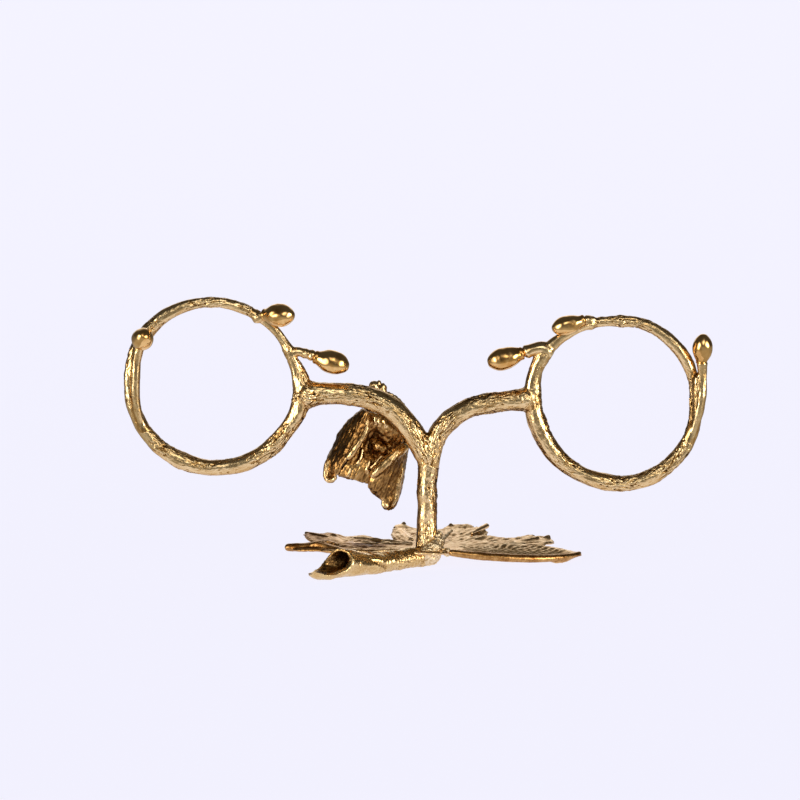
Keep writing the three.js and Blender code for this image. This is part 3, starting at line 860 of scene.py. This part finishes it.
# Each sepal: (rows of points from its base to its tip, folds and rolled edges as (points, radii))
SEPALS = [
    (
        [
            [(-17.5, 12, 43.2), (-17.9, 8.5, 43.4), (-17.2, 6.5, 43.4), (-16.0, 6, 43.1)],
            [(-19.6, 17, 39.9), (-21.0, 11, 40.6), (-18.9, 7, 40.6), (-16.6, 5.8, 41.1)],
            [(-22.4, 18.5, 36.3), (-24.2, 12, 36.9), (-20.8, 7, 37.2), (-17.4, 5.2, 37.5)],
            [(-24.5, 19, 32.2), (-26.2, 12, 32.6), (-22.8, 6.8, 33.3), (-19.5, 4.8, 34.1)],
            [(-26.2, 19, 28.4), (-27.9, 12, 29.1), (-25.1, 6.8, 29.6), (-21.9, 4.6, 30.7)],
            [(-27.0, 18, 25.9), (-28.4, 11.5, 26.3), (-26.2, 7.2, 26.6), (-23.6, 5.0, 28.1)],
            [(-27.2, 17, 24.4), (-27.5, 11, 24.1), (-26.3, 8, 24.5), (-24.8, 6.0, 25.5)],
        ],
        [
            (
                [
                    (-26.9, 11, 30.6), (-28.0, 9.6, 28.5), (-28.5, 9, 26.2), (-28.5, 8.5, 24.3),
                    (-27.8, 8, 23.3), (-26.6, 7.6, 23.5), (-25.4, 7, 24.4),
                ],
                [0.35, 0.65, 0.85, 0.9, 0.9, 0.8, 0.5],
            ),
            (
                [
                    (-16.3, 5.2, 42.7), (-16.7, 4.5, 40.3), (-17.3, 3.9, 37.6), (-19.3, 3.5, 34.2),
                    (-20.9, 3.5, 31.9), (-22.5, 3.9, 29.9),
                ],
                [0.55, 0.7, 0.8, 0.9, 0.9, 0.9],
            ),
        ],
    ),
    (
        [
            [(-16.0, 6.5, 43.0), (-14.3, 6.5, 42.7), (-12.4, 6.5, 42.4), (-10.4, 7, 41.8)],
            [(-16.6, 6.5, 40.1), (-14.0, 6, 39.6), (-11.5, 5.5, 39.1), (-8.4, 6, 38.5)],
            [(-17.4, 7, 36.7), (-14.6, 8.8, 35.9), (-11.5, 7.2, 35.5), (-6.6, 6.5, 35.6)],
            [(-19.1, 6.5, 33.6), (-15.5, 8.8, 32.5), (-12.4, 8.6, 32.0), (-8.1, 8.2, 32.0)],
            [(-21.1, 6, 30.5), (-18.0, 5.8, 29.7), (-14.9, 6.4, 29.1), (-11.2, 6.9, 29.0)],
            [(-23.1, 5.5, 28.0), (-20.3, 4.8, 27.0), (-18.0, 5.0, 26.4), (-14.1, 6, 26.5)],
            [(-25.1, 6.5, 24.5), (-22.5, 5.2, 24.7), (-19.4, 5.2, 23.4), (-16.6, 6, 22.4)],
        ],
        [
            ([(-14.5, 5.6, 42.2), (-14.6, 5.4, 39.9)], [0.4, 0.5]),
            ([(-13.3, 5.4, 42.0), (-13.5, 5.3, 39.4)], [0.4, 0.5]),
            ([(-12.1, 5.2, 41.1), (-11.5, 5.1, 39.1)], [0.35, 0.45]),
            ([(-18.0, 6.0, 32.9), (-18.6, 5.2, 30.4), (-19.4, 4.6, 28.4)], [0.4, 0.5, 0.4]),
            ([(-16.0, 5.8, 29.8), (-16.6, 5, 27.8), (-16.9, 4.8, 26.1)], [0.4, 0.5, 0.4]),
            ([(-20.8, 5.2, 28.6), (-21.6, 4.7, 26.4), (-22.3, 4.9, 24.9)], [0.25, 0.35, 0.3]),
        ],
    ),
    (
        [
            [(-12.6, 6, 28.8), (-9.3, 5.5, 30.9), (-6.4, 8, 31.4), (-5.9, 14, 31.1)],
            [(-14.9, 5.2, 26.1), (-10.9, 4.6, 27.9), (-6.6, 8.5, 28.7), (-6.1, 15, 28.1)],
            [(-16.5, 5.6, 23.2), (-12.6, 4.4, 24.8), (-7.1, 8, 25.7), (-6.7, 15, 24.9)],
            [(-16.3, 6.2, 21.1), (-12.9, 4.8, 22.1), (-7.6, 7.5, 22.9), (-7.1, 14, 22.2)],
            [(-14.6, 7.0, 19.3), (-12.4, 5.4, 19.8), (-8.1, 7.5, 20.3), (-7.7, 13, 20.0)],
            [(-12.7, 6.5, 17.9), (-11.2, 5.6, 17.4), (-8.7, 7.5, 17.7), (-8.4, 12, 17.6)],
            [(-12.4, 7, 15.4), (-11.2, 6.8, 15.0), (-10.1, 7.5, 15.1), (-9.3, 10, 15.3)],
        ],
        [
            (
                [
                    (-5.4, 5.5, 33.7), (-8.1, 3.8, 31.9), (-10.9, 2.9, 29.5), (-13.5, 2.6, 27.1),
                    (-15.7, 2.8, 24.8),
                ],
                [1.2, 1.5, 1.7, 1.65, 1.2],
            ),
            ([(-12.4, 5.0, 31.0), (-14.3, 4.5, 28.9), (-16.0, 4.6, 27.0)], [0.4, 0.5, 0.4]),
            (
                [
                    (-6.7, 8, 27.4), (-7.4, 7.2, 24.6), (-7.9, 6.6, 22.4), (-8.2, 6.6, 20.4),
                    (-8.7, 6.6, 17.8), (-9.8, 6.6, 15.9),
                ],
                [0.4, 0.6, 0.65, 0.65, 0.7, 0.7],
            ),
            ([(-12.3, 6.2, 18.2), (-11.8, 5.8, 16.5), (-10.6, 6.0, 15.7)], [0.6, 1.0, 0.8]),
        ],
    ),
    (
        [
            [(-17.5, 12, 43.2), (-16, 14, 43), (-14, 14.5, 42.8), (-12.5, 13.5, 42.5)],
            [(-19.6, 17, 39.9), (-17, 20.5, 39.5), (-13.5, 21.5, 39), (-10.5, 20.5, 38.5)],
            [(-22.4, 18.5, 36.3), (-19, 23, 35.5), (-14.5, 24, 35), (-10, 22.5, 34.5)],
            [(-24.5, 19, 32.2), (-20.5, 23.6, 31.5), (-16, 24.1, 31), (-11.5, 23, 30.5)],
            [(-26.2, 19, 28.4), (-22.5, 23.6, 27.5), (-18, 24.0, 27), (-13.5, 22.8, 26.5)],
            [(-27, 18, 25.9), (-23.5, 22.5, 24.5), (-19.5, 23, 24), (-15.5, 21.5, 24)],
            [(-26.5, 17, 24.2), (-23, 20.5, 22), (-20, 21, 21.5), (-17, 20, 22)],
        ],
        [
            (
                [
                    (-12.6, 14, 42.4), (-10.3, 21, 38.5), (-9.8, 23, 34.5), (-11.3, 23.4, 30.5),
                    (-13.4, 23, 26.5), (-16, 21, 23),
                ],
                [0.5, 0.7, 0.8, 0.8, 0.8, 0.6],
            )
        ],
    ),
    (
        [
            [(-12.5, 13.5, 42.5), (-11, 12, 42), (-9.5, 10, 41.5), (-8.8, 7.5, 41)],
            [(-10.5, 20.5, 38.5), (-8, 17.5, 38.3), (-6.3, 13, 38), (-5.8, 8.5, 37.8)],
            [(-10, 22.5, 34.5), (-7, 19.5, 34.5), (-5.2, 14.5, 34.5), (-5.2, 8, 34.5)],
            [(-11.5, 23, 30.5), (-7.8, 20.5, 31), (-5.6, 15.5, 31.2), (-5.8, 11, 31.3)],
            [(-13.5, 22.8, 26.5), (-9.3, 20.8, 27.5), (-6.4, 16, 28), (-6.4, 12, 28.4)],
            [(-15.5, 21.5, 24), (-11, 19.8, 24), (-7.4, 16, 24.5), (-7.2, 12.5, 25)],
            [(-16.5, 20, 21.5), (-12, 18, 20.5), (-8.5, 15.5, 21), (-8.0, 12.5, 21.5)],
        ],
        [([(-8.8, 7.6, 41), (-5.9, 8.4, 37.8), (-5.4, 7.8, 34.8)], [0.5, 0.7, 0.6])],
    ),
]

# The knobbly head between the sepals, and the broken stalk that shows over the left arm
SEED_CORE = ([(-13.4, 9.4, 43), (-14.5, 12, 36), (-16.5, 13.5, 28)], [1.0, 3.4, 3.8, 3.2, 1.0])
SEED_KNOBS = [
    ((-13.8, 6.6, 33.3), 1.4),
    ((-12.2, 6.6, 32.4), 1.3),
    ((-14.9, 7.2, 34.6), 1.0),
    ((-10.4, 7.6, 33.2), 0.9),
]
STALK_STUBS = [
    ([(-12.9, 7.2, 46), (-14.0, 7, 49), (-15.6, 6, 51.6)], [1.9, 1.8, 1.2]),
    ([(-13.4, 7, 47.6), (-13.6, 7, 51.9)], [1.3, 0.8]),
    ([(-13.0, 7, 47.6), (-12.0, 6.5, 51.2)], [1.4, 0.95]),
    ([(-13, 7, 48.4), (-9.8, 6.5, 47.6), (-7.3, 5.5, 45.6), (-5.6, 5, 43)], [0.8, 0.75, 0.7, 0.6]),
]
# How dark each sepal is: the one that faces the front is rubbed more than the rest
SEPAL_PATINA = [0.56, 0.44, 0.56, 0.56, 0.56]


def crumple(obj, base, ridges):
    """Wrinkles a flower piece lengthwise and darkens it, except on its folds and rolled edges."""
    rows = coordinates(obj)
    x, y, z = rows.T
    leaning = np.column_stack([x - 0.45 * z, y, z + 0.3 * x])
    wrinkles = rough(leaning, 0.8, 0.8, 3.0, seed=3.3)
    lumps = rough(rows, 1.5, 1.5, 1.5, seed=7.7)
    grit = rough(leaning, 0.55, 0.55, 1.0, seed=1.1)
    crest = np.zeros(len(rows))
    for points, radii in ridges:
        wide = max(radii)
        crest = np.maximum(crest, 1 - smooth_step(distance(rows, points), 0.9 * wide, 1.5 * wide))
    push_out(obj, (0.22 * wrinkles + 0.18 * lumps + 0.12 * grit) * (1 - 0.5 * crest))
    age(obj, leaning, 0.9 - 0.4 * crest, base, 4.0, -0.34 * crest + 0.15 * lumps)


# ---- Operators -----------------------------------------------------------------------------------


class TWIGSTAND_PG_finish(bpy.types.PropertyGroup):
    """Sizes and colours that a user would change."""

    twig_detail: FloatProperty(
        name="Twig detail",
        description="Size of the smallest bark feature on the twigs",
        default=0.19 * MM,
        min=0.15 * MM,
        subtype="DISTANCE",
        unit="LENGTH",
    )
    leaf_detail: FloatProperty(
        name="Leaf detail",
        description="Size of the smallest feature on the leaf and the flower",
        default=0.27 * MM,
        min=0.2 * MM,
        subtype="DISTANCE",
        unit="LENGTH",
    )
    rubbed: FloatVectorProperty(
        name="Rubbed metal",
        description="Colour of the gilt brass where the patina is rubbed off",
        default=linear("#F5D8A4"),
        size=4,
        min=0.0,
        max=1.0,
        subtype="COLOR",
    )


class TWIGSTAND_OT_twigs(bpy.types.Operator):
    """Model the stem, arms, hoops, shoots and bud stalks as one branching twig, then part them"""

    bl_idname = "twigstand.twigs"
    bl_label = "Twigs"

    def execute(self, context):
        settings = context.scene.twigstand
        # bark: cast in wax from real twigs, so it keeps every crack and flake
        material = gilt_brass(
            "Gilt brass cast from bark, rubbed bright over dark cracks",
            [(0.0, settings.rubbed), (0.35, "#D0A668"), (0.65, "#8A602D"), (1.0, "#2B1C0B")],
            roughness=(0.2, 0.42),
            grain=0.42,
            depth=0.12,
            mottle=0.55,
        )
        voxel = fineness(settings.twig_detail / MM)
        skin = join([tube(name, *spec[:3]) for name, spec in TWIGS.items()], "twigs")
        fuse(skin, voxel, int(0.9 / voxel**2))
        grow_bark(skin)
        pieces = split_at_seams(skin)
        owned = {piece.name: [] for piece in pieces}
        for name in TWIGS:
            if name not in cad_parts:
                continue
            line = course(TWIGS[name][0])
            owned[nearest_piece(pieces, at(line[len(line) // 2])).name].append(name)
        for piece in pieces:
            names = owned[piece.name]
            if not names:
                raise RuntimeError(f"no part of the frame matches {piece.name}")
            finish_piece(piece, names[0] + "_cast", material, names)
        return {"FINISHED"}


class TWIGSTAND_OT_buds(bpy.types.Operator):
    """Model the six buds"""

    bl_idname = "twigstand.buds"
    bl_label = "Buds"

    def execute(self, context):
        # buds: the smoothest part of the casting, buffed until they mirror the room
        material = gilt_brass(
            "Gilt brass cast smooth, buffed bright",
            [(0.0, "#EBC07E"), (0.4, "#CC9750"), (0.7, "#875D2A"), (1.0, "#2E1E0C")],
            roughness=(0.13, 0.34),
            grain=0.9,
            depth=0.05,
            mottle=0.5,
        )
        for name, bud in BUDS.items():
            finish_piece(grow_bud(*bud), name + "_cast", material, [name])
        return {"FINISHED"}


class TWIGSTAND_OT_leaf(bpy.types.Operator):
    """Model the leaf blade"""

    bl_idname = "twigstand.leaf"
    bl_label = "Leaf blade"

    def execute(self, context):
        # blade: thin dull gilding over brown brass
        material = gilt_brass(
            "Gilt brass cast from a leaf, dull and brown in the furrows",
            [(0.0, "#F5D6A4"), (0.4, "#D0A265"), (0.7, "#95632F"), (1.0, "#3C2512")],
            roughness=(0.32, 0.5),
            grain=0.45,
            depth=0.06,
            mottle=0.6,
        )
        blade = leaf_mesh()
        fuse(blade, fineness(context.scene.twigstand.leaf_detail / MM), 3)
        rows = coordinates(blade)
        x, y = rows[:, 0], rows[:, 1]
        relief = leaf_relief(x, y)
        _, forward, across, *_ = leaf_place(x, y)
        streaks = rough(np.column_stack([across, forward, rows[:, 2]]), 0.5, 2.6, 1.0, seed=3.9)
        lumps = rough(rows, 1.1, 1.1, 1.1, seed=6.6)
        up = normals(blade)[:, 2]
        height = relief * np.clip(up * 1.5, 0, 1) + 0.1 * streaks + 0.1 * lumps
        crest = np.zeros(len(rows))
        for points, _ in LEAF_ROLLS:
            crest = np.maximum(crest, 1 - smooth_step(distance(rows, points), 0.9, 1.5))
        push_out(blade, height * (1 - 0.8 * crest))
        rows = rest_on_table(blade)
        # painted shade under the hanging flower, left of the hub between its veins;
        # patina along the front roll and to the left
        flower_shade = np.exp(-(((rows[:, 0] + 15) / 8) ** 2 + ((rows[:, 1] - 14) / 7) ** 2))
        veins = np.zeros(len(rows))
        for points, _ in LEAF_VEINS:
            veins = np.maximum(veins, 1 - smooth_step(distance(rows, points), 0.7, 1.1))
        front_roll = 1 - smooth_step(distance(rows, LEAF_ROLLS[0][0]), 1.1, 1.7)
        brown = 0.8 * flower_shade * (1 - veins) + 0.3 * front_roll + 0.3 * smooth_step(-x, 20, 32)
        # patina, plus the painted shade under the flower
        age(blade, rows, 0.8 - 0.7 * crest, 0.25, 1.7, brown - 0.14 * streaks + 0.05 * crest)
        finish_piece(blade, "leaf_blade_cast", material, ["leaf_blade"])
        return {"FINISHED"}


class TWIGSTAND_OT_leaf_stalk(bpy.types.Operator):
    """Model the hollow leaf stalk with its torn mouth"""

    bl_idname = "twigstand.leaf_stalk"
    bl_label = "Leaf stalk"

    def execute(self, context):
        # stalk: the same casting as the leaf, but rubbed as bright as the twigs
        material = gilt_brass(
            "Gilt brass cast from a leaf stalk, rubbed",
            [(0.0, "#EBCC92"), (0.35, "#CCA467"), (0.65, "#87643A"), (1.0, "#332615")],
            roughness=(0.22, 0.42),
            grain=0.4,
            depth=0.07,
            mottle=0.5,
        )
        stalk = tube("stalk", *LEAF_STALK)
        bore = tube("bore", *STALK_BORE)
        # a second cutter tears the mouth open aslant
        deselect()
        bpy.ops.mesh.primitive_cylinder_add(
            vertices=64,
            radius=TEAR_RADIUS * MM,
            depth=TEAR_LENGTH * MM,
            location=at(TEAR_MIDDLE),
            rotation=(math.radians(90), 0, math.radians(60)),
        )
        for cutter in (bore, bpy.context.object):
            apply_modifier(stalk, "BOOLEAN", object=cutter, operation="DIFFERENCE", solver="EXACT")
            bpy.data.objects.remove(cutter)
        stalk = join([stalk, tube("rim", *STALK_RIM)], "leaf_stalk")
        fuse(stalk, fineness(STALK_DETAIL), 8)
        rows = coordinates(stalk)
        way = np.array([-0.86, -0.51, 0.0])
        along = rows @ way
        across = rows @ np.array([0.51, -0.86, 0.0])
        grain = np.column_stack([across, rows[:, 2], along])
        far_end = smooth_step(along, 14, 24)
        hoops = rough(grain, 2.5, 2.5, 0.7, seed=4.1) * (1 - far_end)
        pits = smooth_step(rough(grain, 0.55, 0.55, 0.6, seed=8.8), 0.2, 0.5) * (1 - far_end)
        dent = np.exp(-((distance(rows, STALK_DENT) / 0.55) ** 2))
        facets = rough(rows, 3.0, 3.0, 3.0, seed=2.7)
        grit = rough(grain, 0.4, 0.4, 0.4)
        push_out(stalk, 0.32 * facets + 0.16 * hoops - 0.1 * pits - 0.4 * dent + 0.08 * grit)
        rows = rest_on_table(stalk)
        inside = 1 - smooth_step(distance(rows, STALK_MOUTH), 3.1, 3.4)
        grit = rough(rows, 0.8, 0.8, 0.8, seed=5.9)
        dark = inside * (0.42 + 0.3 * grit) + 0.3 * pits + 0.2 * dent
        age(stalk, grain, 0.4 + 0.6 * np.maximum(1 - far_end, inside), 0.2, 5.0, dark)
        finish_piece(stalk, "leaf_stalk_cast", material, ["leaf_stalk"])
        return {"FINISHED"}


class TWIGSTAND_OT_braze(bpy.types.Operator):
    """Model the granular braze round the stem's foot"""

    bl_idname = "twigstand.braze"
    bl_label = "Foot braze"

    def execute(self, context):
        # braze: silvery filler that froze in grains
        material = gilt_brass(
            "Silvery brass filler, frozen in grains",
            [(0.0, "#F6DEB4"), (0.4, "#D2B27E"), (0.75, "#916C3C"), (1.0, "#3A2812")],
            roughness=(0.45, 0.6),
            grain=0.3,
            depth=0.2,
            mottle=0.7,
        )
        thread = tube("thread", *BRAZE_THREAD)
        braze = join([*[ball(*lump) for lump in BRAZE_LUMPS], thread], "foot_braze")
        fuse(braze, fineness(BRAZE_DETAIL), 4)
        rows = coordinates(braze)
        grains = rough(rows, 0.6, 0.6, 0.6, seed=9.1)
        clots = rough(rows, 1.8, 1.8, 1.8, seed=4.2)
        push_out(braze, 0.26 * grains + 0.25 * clots)
        rows = rest_on_table(braze)
        age(braze, rows, 1.0, 0.12, 4.0, -0.6 * grains - 0.2 * clots)
        finish_piece(braze, "foot_braze_cast", material, ["foot_braze"])
        return {"FINISHED"}


class TWIGSTAND_OT_flower(bpy.types.Operator):
    """Model the flower's sepals, seed head and stalk stub"""

    bl_idname = "twigstand.flower"
    bl_label = "Flower"

    def execute(self, context):
        # flower: hardly rubbed, so most of it keeps its brown patina
        material = gilt_brass(
            "Gilt brass cast from a wilted flower, brown patina left on",
            [(0.0, "#ECCB94"), (0.35, "#B98D52"), (0.65, "#6F4D29"), (1.0, "#291B0E")],
            roughness=(0.26, 0.45),
            grain=0.45,
            depth=0.07,
            mottle=0.6,
        )
        voxel = fineness(context.scene.twigstand.leaf_detail / MM)
        for index, ((control, ridges), patina) in enumerate(zip(SEPALS, SEPAL_PATINA), 1):
            folds = [tube("fold", *ridge) for ridge in ridges]
            sepal = join([sheet("sheet", control, 0.9), *folds], "sepal")
            fuse(sepal, voxel, 3)
            crumple(sepal, patina, ridges)
            name = f"flower_sepal_{index}"
            finish_piece(sepal, name + "_cast", material, [name])
        head = join([tube("core", *SEED_CORE), *[ball(*knob) for knob in SEED_KNOBS]], "head")
        stub = join([tube("stub", *part) for part in STALK_STUBS], "stub")
        fuse(head, voxel, 2)
        crumple(head, 0.5, [])
        finish_piece(head, "flower_seed_head_cast", material, ["flower_seed_head"])
        fuse(stub, voxel, 2)
        crumple(stub, 0.15, [])
        finish_piece(stub, "flower_stalk_cast", material, ["flower_stalk"])
        return {"FINISHED"}


class TWIGSTAND_OT_stage(bpy.types.Operator):
    """Set up the pale floor, the soft studio light and the camera"""

    bl_idname = "twigstand.stage"
    bl_label = "Stage"

    def execute(self, context):
        stage_floor()
        studio_light(context)
        stage_camera(context)
        return {"FINISHED"}


# The floor's disc, in metres. A wider one would wash the twigs out with its reflections.
FLOOR_RADIUS = 0.105


def stage_floor():
    """A round pale floor, and a bowl round it that goes on from it but shows in no reflection."""
    # paper: matt and pale all over, so that only the stand draws the eye
    pale = bpy.data.materials.new("White paper backdrop, evenly lit")
    pale.use_nodes = True
    tree = pale.node_tree
    tree.nodes.clear()
    glow = add_node(tree, "ShaderNodeEmission", {"Color": linear("#F1F0FD"), "Strength": 0.97})
    matt = add_node(tree, "ShaderNodeBsdfDiffuse", {"Color": linear("#555559")})
    both = add_node(tree, "ShaderNodeAddShader", {0: glow.outputs[0], 1: matt.outputs[0]})
    output = add_node(tree, "ShaderNodeOutputMaterial")
    tree.links.new(both.outputs[0], output.inputs["Surface"])
    # (radius, height) of the bowl's rings, in metres
    outline = [
        (FLOOR_RADIUS, 0.0), (0.9, 0.0), (1.2, 0.03), (1.5, 0.15), (1.75, 0.4), (1.9, 0.8),
        (1.95, 1.4),
    ]
    deselect()
    bpy.ops.mesh.primitive_circle_add(vertices=96, radius=FLOOR_RADIUS, fill_type="NGON")
    floor = bpy.context.object
    floor.name = "floor"
    deselect()
    bpy.ops.mesh.primitive_circle_add(vertices=96, radius=FLOOR_RADIUS)
    bowl = bpy.context.object
    bowl.name = "backdrop"
    bpy.ops.object.mode_set(mode="EDIT")
    for (near, low), (far, high) in zip(outline, outline[1:]):
        bpy.ops.mesh.extrude_region_move(TRANSFORM_OT_translate={"value": (0, 0, high - low)})
        bpy.ops.transform.resize(value=(far / near, far / near, 1), center_override=(0, 0, high))
    bpy.ops.object.mode_set(mode="OBJECT")
    for piece in (floor, bowl):
        take(piece)
        bpy.ops.object.shade_smooth()
        piece.data.materials.append(pale)
    bowl.visible_glossy = False


def studio_light(context):
    """A dim studio with soft boxes to the left, to the right, in front above, and behind."""
    world = bpy.data.worlds.new("studio")
    world.use_nodes = True
    tree = world.node_tree
    tree.nodes.clear()
    way = add_node(tree, "ShaderNodeTexCoord").outputs["Generated"]
    height = add_node(tree, "ShaderNodeSeparateXYZ", {0: way}).outputs["Z"]
    dim = add_node(
        tree,
        "ShaderNodeMapRange",
        {"Value": height, "From Min": -0.45, "From Max": 0.1, "To Min": 0.5, "To Max": 0.07},
    ).outputs["Result"]
    over_table = add_node(
        tree,
        "ShaderNodeMapRange",
        {"Value": height, "From Min": 0.0, "From Max": 0.1, "To Min": 0.1, "To Max": 1.0},
    ).outputs["Result"]
    # (direction, how small, how bright, whether the table hides its foot) of each soft box
    boxes = [
        ((-0.78, -0.62, 0.10), 38.0, 10.0, False),
        ((0.80, -0.60, 0.14), 40.0, 12.0, False),
        ((0.1, -0.85, 0.50), 30.0, 3.0, False),
        ((0.0, 0.95, 0.22), 12.0, 1.5, True),
    ]
    total = dim
    for direction, small, bright, hidden in boxes:
        aim = Vector(direction).normalized()
        facing = add_node(tree, "ShaderNodeVectorMath", {0: way, 1: aim}, operation="DOT_PRODUCT")
        lit = add_node(
            tree, "ShaderNodeMath", {0: facing.outputs["Value"], 1: 0.0}, operation="MAXIMUM"
        ).outputs[0]
        patch = add_node(
            tree, "ShaderNodeMath", {0: lit, 1: small}, operation="POWER"
        ).outputs[0]
        if hidden:
            patch = add_node(
                tree, "ShaderNodeMath", {0: patch, 1: over_table}, operation="MULTIPLY"
            ).outputs[0]
        total = add_node(
            tree, "ShaderNodeMath", {0: patch, 1: bright, 2: total}, operation="MULTIPLY_ADD"
        ).outputs[0]
    warm = linear("#FFFBF4")
    background = add_node(tree, "ShaderNodeBackground", {"Color": warm, "Strength": total})
    output = add_node(tree, "ShaderNodeOutputWorld")
    tree.links.new(background.outputs[0], output.inputs["Surface"])
    context.scene.world = world


def stage_camera(context):
    """The camera looks slightly down at the stand from the front."""
    camera = bpy.data.cameras.new("camera")
    holder = bpy.data.objects.new("camera", camera)
    context.collection.objects.link(holder)
    away, tilt, width, sensor = 0.9, math.radians(7), 0.224, 36
    target = at((-7.56, 0, 47.2))
    holder.location = target + Vector((0, -math.cos(tilt), math.sin(tilt))) * away
    holder.rotation_euler = (math.radians(90) - tilt, 0, 0)
    camera.sensor_width = sensor
    camera.lens = sensor * away / width
    camera.clip_start = 0.01
    context.scene.camera = holder
    context.scene.view_settings.view_transform = "Standard"


class TWIGSTAND_PT_panel(bpy.types.Panel):
    """Lists the steps that build the stand"""

    bl_idname = "TWIGSTAND_PT_panel"
    bl_label = "Twig Stand"
    bl_space_type = "VIEW_3D"
    bl_region_type = "UI"
    bl_category = "Twig Stand"

    def draw(self, context):
        settings = context.scene.twigstand
        for name in ("twig_detail", "leaf_detail", "rubbed"):
            self.layout.prop(settings, name)
        for step in STEPS:
            self.layout.operator(step.bl_idname)


STEPS = [
    TWIGSTAND_OT_twigs,
    TWIGSTAND_OT_buds,
    TWIGSTAND_OT_leaf,
    TWIGSTAND_OT_leaf_stalk,
    TWIGSTAND_OT_braze,
    TWIGSTAND_OT_flower,
    TWIGSTAND_OT_stage,
]
CLASSES = [TWIGSTAND_PG_finish, *STEPS, TWIGSTAND_PT_panel]


def register():
    for cls in CLASSES:
        bpy.utils.register_class(cls)
    bpy.types.Scene.twigstand = PointerProperty(type=TWIGSTAND_PG_finish)


def unregister():
    del bpy.types.Scene.twigstand
    for cls in reversed(CLASSES):
        bpy.utils.unregister_class(cls)


def main():
    """Builds every piece and the stage."""
    register()
    for step in STEPS:
        module, operator = step.bl_idname.split(".")
        getattr(getattr(bpy.ops, module), operator)()


if __name__ == "__main__":
    main()
